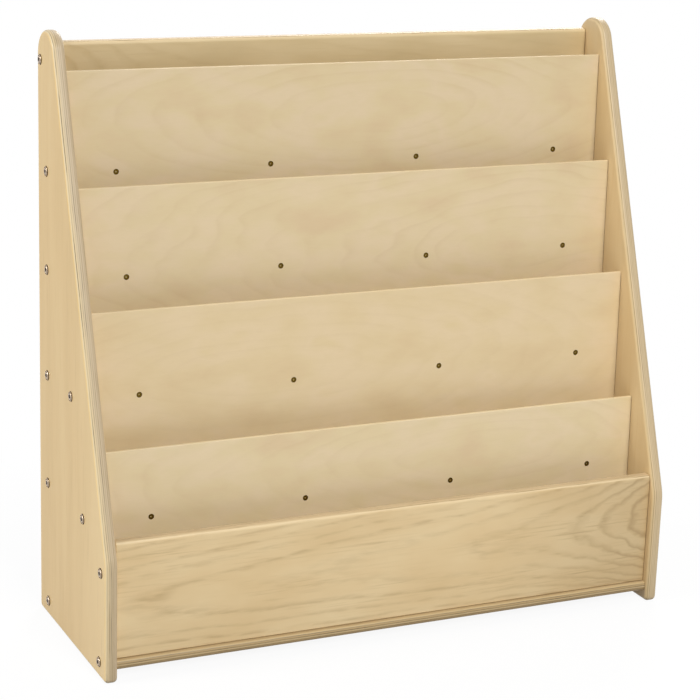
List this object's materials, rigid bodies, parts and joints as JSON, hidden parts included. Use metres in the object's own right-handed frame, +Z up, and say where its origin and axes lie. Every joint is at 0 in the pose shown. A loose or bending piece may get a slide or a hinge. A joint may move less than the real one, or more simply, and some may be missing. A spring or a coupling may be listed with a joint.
{
  "type": "book display shelf",
  "caption": "Free-standing plywood book display: sloping sides carry stepped shelves with thin panels that picture books lean against, behind a thick front board.",
  "frame": {"origin": "on the floor, under the middle of the shelf's outline", "axes": "+X to the right as seen from the front, +Y to the rear, +Z up"},
  "size_m": [0.9182, 0.314, 0.887],
  "materials": {
    "side_plywood": "clear satin lacquer on birch plywood",
    "shelf_plywood": "clear satin lacquer on birch plywood",
    "panel_plywood": "clear satin lacquer on thin birch plywood",
    "front_plywood": "clear satin lacquer on birch plywood",
    "zinc_plated_steel": "bright zinc plate",
    "beech_dowel": "bare turned beech"
  },
  "bodies": {
    "root": {"left_side": "side_plywood", "right_side": "side_plywood", "shelf_1": "shelf_plywood", "shelf_2": "shelf_plywood", "shelf_3": "shelf_plywood", "shelf_4": "shelf_plywood", "bottom_board": "shelf_plywood", "back_board": "front_plywood", "front_board": "front_plywood", "display_panel_1": "panel_plywood", "display_panel_2": "panel_plywood", "display_panel_3": "panel_plywood", "display_panel_4": "panel_plywood", "left_bolt_back_board_1": "zinc_plated_steel", "left_bolt_front_board_1": "zinc_plated_steel", "left_bolt_bottom_board_1": "zinc_plated_steel", "left_bolt_bottom_board_2": "zinc_plated_steel", "left_bolt_shelf_1_1": "zinc_plated_steel", "left_bolt_shelf_2_1": "zinc_plated_steel", "left_bolt_shelf_3_1": "zinc_plated_steel", "left_bolt_shelf_3_2": "zinc_plated_steel", "left_bolt_shelf_4_1": "zinc_plated_steel", "left_bolt_shelf_4_2": "zinc_plated_steel", "right_bolt_back_board_1": "zinc_plated_steel", "right_bolt_front_board_1": "zinc_plated_steel", "right_bolt_bottom_board_1": "zinc_plated_steel", "right_bolt_bottom_board_2": "zinc_plated_steel", "right_bolt_shelf_1_1": "zinc_plated_steel", "right_bolt_shelf_2_1": "zinc_plated_steel", "right_bolt_shelf_3_1": "zinc_plated_steel", "right_bolt_shelf_3_2": "zinc_plated_steel", "right_bolt_shelf_4_1": "zinc_plated_steel", "right_bolt_shelf_4_2": "zinc_plated_steel", "left_dowel_back_board": "beech_dowel", "left_dowel_front_board": "beech_dowel", "left_dowel_shelf_1": "beech_dowel", "left_dowel_shelf_2": "beech_dowel", "right_dowel_back_board": "beech_dowel", "right_dowel_front_board": "beech_dowel", "right_dowel_shelf_1": "beech_dowel", "right_dowel_shelf_2": "beech_dowel", "panel_1_screw_1": "zinc_plated_steel", "panel_1_screw_2": "zinc_plated_steel", "panel_1_screw_3": "zinc_plated_steel", "panel_1_screw_4": "zinc_plated_steel", "panel_2_screw_1": "zinc_plated_steel", "panel_2_screw_2": "zinc_plated_steel", "panel_2_screw_3": "zinc_plated_steel", "panel_2_screw_4": "zinc_plated_steel", "panel_3_screw_1": "zinc_plated_steel", "panel_3_screw_2": "zinc_plated_steel", "panel_3_screw_3": "zinc_plated_steel", "panel_3_screw_4": "zinc_plated_steel", "panel_4_screw_1": "zinc_plated_steel", "panel_4_screw_2": "zinc_plated_steel", "panel_4_screw_3": "zinc_plated_steel", "panel_4_screw_4": "zinc_plated_steel"}
  },
  "joints": []
}
